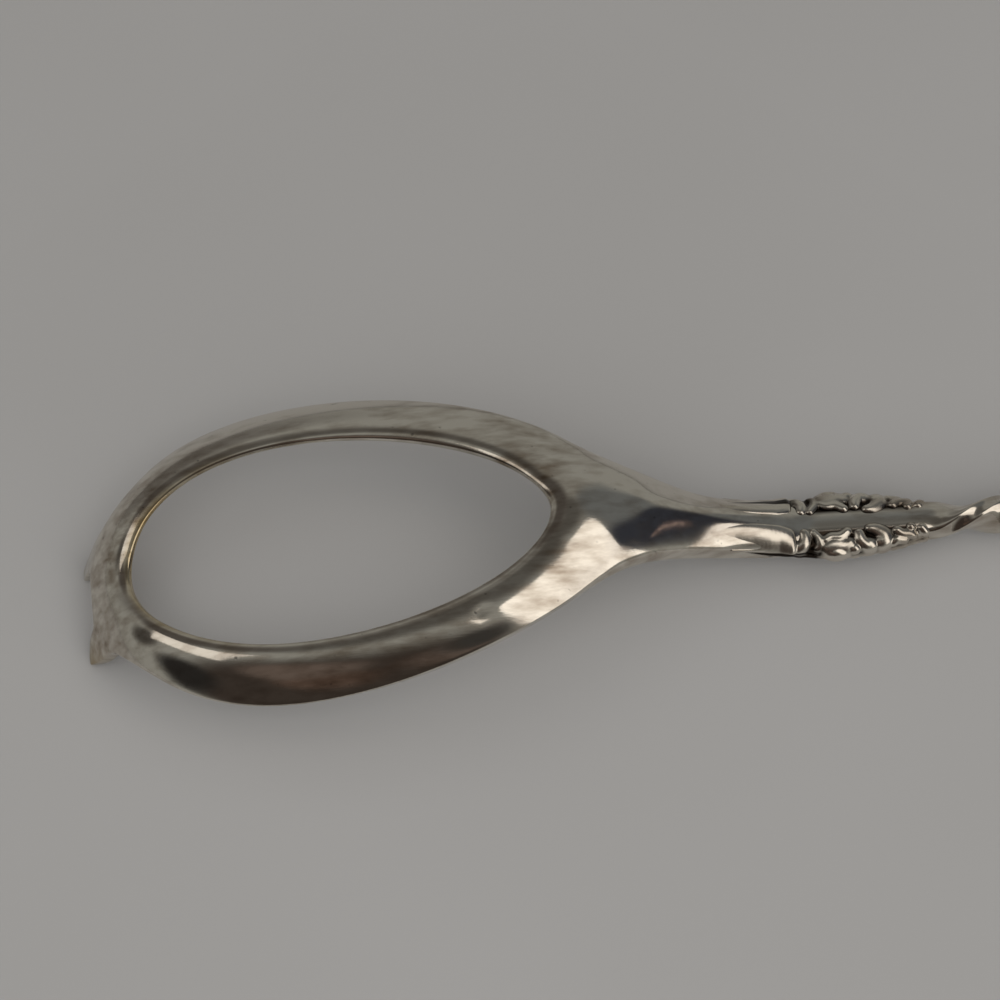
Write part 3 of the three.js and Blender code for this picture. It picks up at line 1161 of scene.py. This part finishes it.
    def mark(self, mesh: Mesh) -> None:
        """Marks how deep each point of the border lies, for the dark oxide in its hollows, and marks the
        dark band along the long leaf, which takes the same dark colour.

        Args:
            mesh: Mesh of the border, in millimetres from the tine points.
        """
        low, high = self.recess
        marks = mesh.attributes.new(RECESS, "FLOAT", "POINT")
        for vertex, mark in zip(mesh.vertices, marks.data):
            along = self.along(vertex.co.x)
            _, level, wide, tall = self.profile(round(along, PLACE_DIGITS))
            above = vertex.co.z - level
            angle = math.degrees(math.atan2(abs(above) / tall, abs(vertex.co.y) / wide))
            point, out = self.bed(along, math.copysign(angle, above))
            depth = min(max(((point - vertex.co).dot(out) - low) / (high - low), 0), 1)
            # The dark band along the long leaf gets the oxide's dark colour, also on the right, where it
            # lies over the leaf
            mark.value = max(depth * self.inside(along + self.stain_fade), self.dark_band(along, angle))

    def stain(self) -> None:
        """Marks the shank beside the border as recessed, so that the oxide lies there too."""
        low, high = self.stain_edge
        mesh = self.shank.data
        marks = mesh.attributes.get(RECESS) or mesh.attributes.new(RECESS, "FLOAT", "POINT")
        for vertex, mark in zip(mesh.vertices, marks.data):
            across = vertex.co.y / MM * self.side.value
            share = min(max((across - low) / (high - low), 0), 1)
            along = self.along(vertex.co.x / MM + self.bar.end_x / 2)
            mark.value = max(mark.value, share * self.inside(along))

    def build(self) -> Object:
        """Builds the border as one fused mesh.

        Returns:
            The piece.
        """
        form = bmesh.new()
        bmesh.ops.create_icosphere(form, subdivisions=self.ball_subdivisions, radius=1)
        ball = numpy.array([vertex.co for vertex in form.verts])
        skin = numpy.array([[vertex.index for vertex in face.verts] for face in form.faces])
        form.free()
        lumps = self.lumps()
        points = [lump[0] + ball @ lump[1:] for lump in lumps]
        faces = [skin + i * len(ball) for i in range(len(lumps))]
        mesh = bpy.data.meshes.new(self.name)
        mesh.from_pydata(numpy.concatenate(points), [], numpy.concatenate(faces))
        mesh = evaluated(
            mesh,
            [
                ("REMESH", {"mode": "VOXEL", "voxel_size": self.grain, "use_smooth_shade": True}),
                ("SMOOTH", {"factor": self.smoothing, "iterations": self.smoothing_rounds}),
            ],
        )
        mesh.name = self.name
        self.mark(mesh)
        self.stain()
        origin = Matrix.Translation((-self.bar.end_x / 2, 0, 0))
        mesh.transform(Matrix.Scale(MM, 4) @ origin)
        piece = place_piece(mesh, self.name, self.node)
        self.dress(piece)
        return piece

    def dress(self, piece: Object) -> None:
        """Gives the border its finish."""
        piece.data.materials.append(self.finish)


def add_node(tree: NodeTree, kind: str, settings: dict, inputs: dict) -> Node:
    """Adds a node with its settings and links.

    Args:
        tree: Tree that the node goes into.
        kind: Type of the node.
        settings: Values of its properties, by name.
        inputs: By socket, a value for it or the output that is linked to it.

    Returns:
        The node.
    """
    node = tree.nodes.new(kind)
    for name, value in settings.items():
        setattr(node, name, value)
    for socket, value in inputs.items():
        if isinstance(value, NodeSocket):
            tree.links.new(value, node.inputs[socket])
        else:
            node.inputs[socket].default_value = value
    return node


def per_metre(size: float) -> float:
    """Gives the texture scale at which a pattern repeats every so many millimetres."""
    return 1 / (size * MM)


def cloud(tree: NodeTree, place: NodeSocket, scale: float, detail: float) -> NodeSocket:
    """Adds a cloudy pattern and gives its value, from 0 to 1."""
    inputs = {"Vector": place, "Scale": scale, "Detail": detail}
    return add_node(tree, "ShaderNodeTexNoise", {}, inputs).outputs["Fac"]


def calculated(tree: NodeTree, operation: str, first: NodeSocket, second: NodeSocket) -> NodeSocket:
    """Adds a calculation with two values, such as MULTIPLY or MAXIMUM, and gives its result."""
    return add_node(tree, "ShaderNodeMath", {"operation": operation}, {0: first, 1: second}).outputs[0]


def mixed(tree: NodeTree, share: NodeSocket, base: NodeSocket | tuple, layer: str) -> NodeSocket:
    """Adds a mix of a base colour with a share of a hex colour, and gives the result."""
    inputs = {MIX_SHARE: share, MIX_BASE: base, MIX_LAYER: linear(layer)}
    return add_node(tree, "ShaderNodeMix", {"data_type": "RGBA"}, inputs).outputs[MIX_RESULT]


def remapped(
    tree: NodeTree,
    value: NodeSocket,
    source: tuple[float, float] = (0.0, 1.0),
    target: tuple[float, float] = (0.0, 1.0),
    interpolation: str = "LINEAR",
) -> NodeSocket:
    """Turns a range of a value into another range, which the result doesn't leave.

    Args:
        tree: Tree that the value is in.
        value: Value to turn.
        source: Start and end of its range.
        target: What the two become.
        interpolation: Way between them, as the node names it.

    Returns:
        The result.
    """
    inputs = {"Value": value}
    for word, (low, high) in {"From": source, "To": target}.items():
        inputs |= {f"{word} Min": low, f"{word} Max": high}
    return add_node(tree, "ShaderNodeMapRange", {"interpolation_type": interpolation}, inputs).outputs[0]


def begin_material(name: str) -> tuple[Material, Node, NodeSocket]:
    """Makes a material to add nodes to.

    Args:
        name: Name of the real material.

    Returns:
        The material, its shader and the place on the object.
    """
    material = bpy.data.materials.new(name)
    material.use_nodes = True
    place = add_node(material.node_tree, "ShaderNodeTexCoord", {}, {}).outputs["Object"]
    return material, material.node_tree.nodes["Principled BSDF"], place


@dataclass(frozen=True)
class SilverPlate:
    """Silver plate of the blank, burnished and then rubbed soft by use. Sizes are in millimetres."""

    name: str = "worn_silver_plate"
    silver: str = "#DAD5CA"
    tarnish: str = "#8E7F6E"
    brass: str = "#B49C62"
    oxide: str = "#2A241E"
    polish: float = 0.07
    haze: float = 0.2
    tarnish_size: float = 9.0
    tarnish_detail: float = 5.0
    tarnish_range: tuple[float, float] = (0.2, 0.5)
    speck_size: float = 0.5
    speck_detail: float = 1.0
    speck_range: tuple[float, float] = (0.74, 0.82)
    speck_darkness: float = 0.5
    streak_length: float = 3.0
    streak_width: float = 0.9
    # Scratches are drawn several times as wide as real ones, which are too fine to show
    scratch_length: float = 4.0
    scratch_width: float = 0.12
    scratch_depth: float = 0.004
    scratch_strength: float = 0.5
    grain_detail: float = 3.0

    def grain(self, tree: NodeTree, place: NodeSocket, length: float, width: float) -> NodeSocket:
        """Adds a pattern that is drawn out along the fork.

        Args:
            tree: Tree that it goes into.
            place: Place on the fork.
            length: Its length along the fork.
            width: Its width across the fork.

        Returns:
            Its value, from 0 to 1.
        """
        across = per_metre(width)
        inputs = {"Vector": place, "Scale": (per_metre(length), across, across)}
        stretched = add_node(tree, "ShaderNodeMapping", {}, inputs).outputs[0]
        return cloud(tree, stretched, 1.0, self.grain_detail)

    def material(self) -> Material:
        """Makes the material.

        Returns:
            The new material.
        """
        material, shader, place = begin_material(self.name)
        tree = material.node_tree
        patches = cloud(tree, place, per_metre(self.tarnish_size), self.tarnish_detail)
        specks = cloud(tree, place, per_metre(self.speck_size), self.speck_detail)
        streaks = self.grain(tree, place, self.streak_length, self.streak_width)
        scratches = self.grain(tree, place, self.scratch_length, self.scratch_width)
        stain = remapped(tree, calculated(tree, "MULTIPLY", patches, streaks), self.tarnish_range)
        pits = remapped(tree, specks, self.speck_range, (0.0, self.speck_darkness))
        worn, deep = [
            add_node(tree, "ShaderNodeAttribute", {"attribute_name": name}, {}).outputs["Fac"]
            for name in (WORN_EDGE, RECESS)
        ]
        # Warm white metal under a thin brown film, yellow where the plate is gone, dark in pits, in hollows
        # and in the band along the borders' long leaf
        colour = linear(self.silver)
        for share, layer in (
            (stain, self.tarnish),
            (calculated(tree, "MULTIPLY", worn, patches), self.brass),
            (calculated(tree, "MAXIMUM", deep, pits), self.oxide),
        ):
            colour = mixed(tree, share, colour, layer)
        tree.links.new(colour, shader.inputs["Base Color"])
        # Clear reflections that blur under the film and that fine scratches draw into streaks
        gloss = remapped(tree, stain, target=(self.polish, self.haze))
        tree.links.new(gloss, shader.inputs["Roughness"])
        relief = {"Strength": self.scratch_strength, "Distance": self.scratch_depth * MM}
        bump = add_node(tree, "ShaderNodeBump", {}, {"Height": scratches, **relief})
        tree.links.new(bump.outputs[0], shader.inputs["Normal"])
        shader.inputs["Metallic"].default_value = 1.0
        return material


@dataclass(frozen=True)
class OxidisedSilver(SilverPlate):
    """Silver plate of the borders: softer highlights than the blank's, and black oxide in every hollow."""

    name: str = "oxidised_silver"
    silver: str = "#D8D2C6"
    polish: float = 0.2
    haze: float = 0.32


@dataclass(frozen=True)
class MattLaminate:
    """Laminate of the table top. Its size is in millimetres."""

    name: str = "matt_laminate"
    colour: str = "#9B9A99"
    shade: str = "#92918F"
    shade_size: float = 60.0
    shade_detail: float = 2.0
    roughness: float = 0.7

    def material(self) -> Material:
        """Makes the material.

        Returns:
            The new material.
        """
        material, shader, place = begin_material(self.name)
        tree = material.node_tree
        # Even grey without clear reflections, in faint broad shades
        clouds = cloud(tree, place, per_metre(self.shade_size), self.shade_detail)
        tone = mixed(tree, clouds, linear(self.colour), self.shade)
        tree.links.new(tone, shader.inputs["Base Color"])
        shader.inputs["Roughness"].default_value = self.roughness
        return material


@dataclass(frozen=True)
class DarkPatch:
    """Dim patch of the studio: tilt from overhead, azimuth and reach of its soft edge, in degrees."""

    tilt: float
    azimuth: float
    inner_angle: float
    outer_angle: float
    colour: str


@dataclass(frozen=True)
class SoftBox:
    """Broad lamp: the tilt from overhead and the azimuth of its two ends, its width and its light."""

    name: str
    start: tuple[float, float]
    end: tuple[float, float]
    width: float
    radiance: float
    colour: str = "#FFFFFF"
    distance: float = 700.0
    mirrored: bool = True


def direction(tilt: float, azimuth: float) -> Vector:
    """Gives the direction at a tilt from overhead, in degrees, at an azimuth from +X towards +Y."""
    lean, turn = math.radians(tilt), math.radians(azimuth)
    return Vector((math.sin(lean) * math.cos(turn), math.sin(lean) * math.sin(turn), math.cos(lean)))


@dataclass
class Studio:
    """Pale table, soft light and camera. Lengths are in millimetres from the frame's origin."""

    target: tuple[float, float, float] = (-68.29, 7.83, 0.0)
    azimuth: float = -6.2
    elevation: float = 60.0
    distance: float = 400.0
    scale: float = 0.0875
    image_width: int = 1000
    sensor: float = 36.0
    floor_size: float = 3000.0
    floor_finish: MattLaminate = MattLaminate()
    wall_colour: str = "#92918D"
    patches: tuple[DarkPatch, ...] = (
        DarkPatch(82, 118, 10, 32, "#6A6764"),
        DarkPatch(52, -105, 26, 47, "#3E3733"),
        DarkPatch(43, -108, 3, 11, "#5E4E46"),
        DarkPatch(33, -121, 4, 13, "#665A54"),
        DarkPatch(34, -76, 3, 11, "#625650"),
        DarkPatch(30, -67, 3, 10, "#3A3836"),
        DarkPatch(64, -150, 9, 20, "#2A2827"),
        DarkPatch(64, 168, 6, 16, "#4A4744"),
        DarkPatch(58, -2, 10, 33, "#34363E"),
        DarkPatch(42, 40, 12, 26, "#6A6C6D"),
        DarkPatch(18, 90, 8, 22, "#5C5A57"),
        DarkPatch(42, 132, 10, 26, "#56524F"),
    )
    boxes: tuple[SoftBox, ...] = (
        SoftBox("left_softbox", (27, 200), (54, 163), 230, 0.65, "#FFF6EE"),
        SoftBox("right_softbox", (14, 8), (78, -42), 330, 1.08, "#FFF6EE"),
        SoftBox("shelf_edge", (64.9, -7.8), (64.7, -13), 10, 0.45, "#FFD8C4"),
        SoftBox("front_light", (18, -95), (74, -95), 1000, 2.06, mirrored=False),
        SoftBox("ceiling", (40, 90), (40, -90), 1200, 0.5, mirrored=False),
    )

    def build(self) -> None:
        """Builds the floor, the light and the camera."""
        self.build_floor()
        self.build_world()
        for box in self.boxes:
            self.build_lamp(box)
        self.build_camera()

    def build_floor(self) -> None:
        """Lays the table top under the fork."""
        half = self.floor_size / 2 * MM
        corners = [(-half, -half, 0), (half, -half, 0), (half, half, 0), (-half, half, 0)]
        mesh = bpy.data.meshes.new("table_top")
        mesh.from_pydata(corners, [], [(0, 1, 2, 3)])
        mesh.materials.append(self.floor_finish.material())
        floor = bpy.data.objects.new("table_top", mesh)
        bpy.context.scene.collection.objects.link(floor)

    def build_world(self) -> None:
        """Lights the scene from grey walls with soft dark patches."""
        world = bpy.data.worlds.new("studio")
        bpy.context.scene.world = world
        world.use_nodes = True
        tree = world.node_tree
        way = add_node(tree, "ShaderNodeTexCoord", {}, {}).outputs["Generated"]
        colour = linear(self.wall_colour)
        for patch in self.patches:
            aim = direction(patch.tilt, patch.azimuth)
            facing = add_node(
                tree, "ShaderNodeVectorMath", {"operation": "DOT_PRODUCT"}, {0: way, 1: aim}
            ).outputs["Value"]
            edges = [math.cos(math.radians(angle)) for angle in (patch.outer_angle, patch.inner_angle)]
            share = remapped(tree, facing, edges, interpolation="SMOOTHSTEP")
            colour = mixed(tree, share, colour, patch.colour)
        tree.links.new(colour, tree.nodes["Background"].inputs["Color"])

    def build_lamp(self, box: SoftBox) -> None:
        """Hangs a soft box over the table.

        Args:
            box: Its place, size and light.
        """
        data = bpy.data.lights.new(box.name, "AREA")
        data.shape = "RECTANGLE"
        start, end = direction(*box.start), direction(*box.end)
        out = (start + end).normalized()
        data.size = 2 * box.distance * MM * math.tan(start.angle(end) / 2)
        data.size_y = box.width * MM
        # A plane of even radiance sends out pi times that from each unit of its area
        data.energy = box.radiance * math.pi * data.size * data.size_y
        data.color = linear(box.colour)[:3]
        lamp = bpy.data.objects.new(box.name, data)
        along = (end - start).normalized()
        turn = Matrix((along, out.cross(along), out)).transposed().to_4x4()
        lamp.matrix_world = Matrix.Translation((Vector(self.target) + out * box.distance) * MM) @ turn
        lamp.visible_glossy = box.mirrored
        bpy.context.scene.collection.objects.link(lamp)

    def build_camera(self) -> None:
        """Sets the camera where the photograph was taken."""
        data = bpy.data.cameras.new("camera")
        data.sensor_width = self.sensor
        data.lens = self.sensor * self.distance / (self.scale * self.image_width)
        camera = bpy.data.objects.new("camera", data)
        turn, lift = math.radians(self.azimuth), math.radians(self.elevation)
        back = Vector(
            (math.sin(turn) * math.cos(lift), -math.cos(turn) * math.cos(lift), math.sin(lift))
        )
        camera.location = (Vector(self.target) + back * self.distance) * MM
        camera.rotation_mode = "QUATERNION"
        camera.rotation_quaternion = (-back).to_track_quat("-Z", "Y")
        bpy.context.scene.collection.objects.link(camera)
        bpy.context.scene.camera = camera


def node_span(node: str, axis: int = 0) -> tuple[float, float]:
    """Reads where a CAD node lies.

    Args:
        node: Name of the node.
        axis: 0 for X, 1 for Y or 2 for Z.

    Returns:
        Its lowest and highest place in millimetres, along X from the tine points.
    """
    start = cad_box[0].x if axis == 0 else 0.0
    low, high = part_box(node)
    return (low[axis] - start) / MM, (high[axis] - start) / MM


def main() -> None:
    """Builds the fork, dresses it and sets the studio."""
    logging.basicConfig(level=logging.INFO, format="%(name)s: %(message)s")
    bpy.context.scene.view_settings.view_transform = "Standard"
    tip_x, _ = node_span("bowl_ring")
    neck_x, shank_x = node_span("neck")
    stem_x, handle_x = node_span("twisted_stem")
    blade_x, end_x = node_span("handle_blade")
    bowl_left, bowl_right = node_span("bowl_ring", axis=1)
    blade_left, blade_right = node_span("handle_blade", axis=1)
    bowl = Bowl(bowl_right - bowl_left, tip_x)
    bar = Bar(neck_x, shank_x, stem_x, handle_x, blade_x, end_x, blade_right - blade_left)
    pieces = {piece.name: piece for piece in Blank(bowl, bar, SilverPlate().material()).build()}
    runs = {
        "neck": (pieces["scroll_shank"], shank_x, stem_x),
        "handle": (pieces["grip_shank"], blade_x, handle_x),
    }
    oxidised = OxidisedSilver().material()
    for side in Side:
        for end, (shank, start_x, stop_x) in runs.items():
            name = f"{side.name.lower()}_{end}"
            names = (f"{name}_leaves", f"{name}_scroll")
            ScrollBorder(*names, side, shank, bar, start_x, stop_x, oxidised).build()
    Studio().build()


if __name__ == "__main__":
    main()
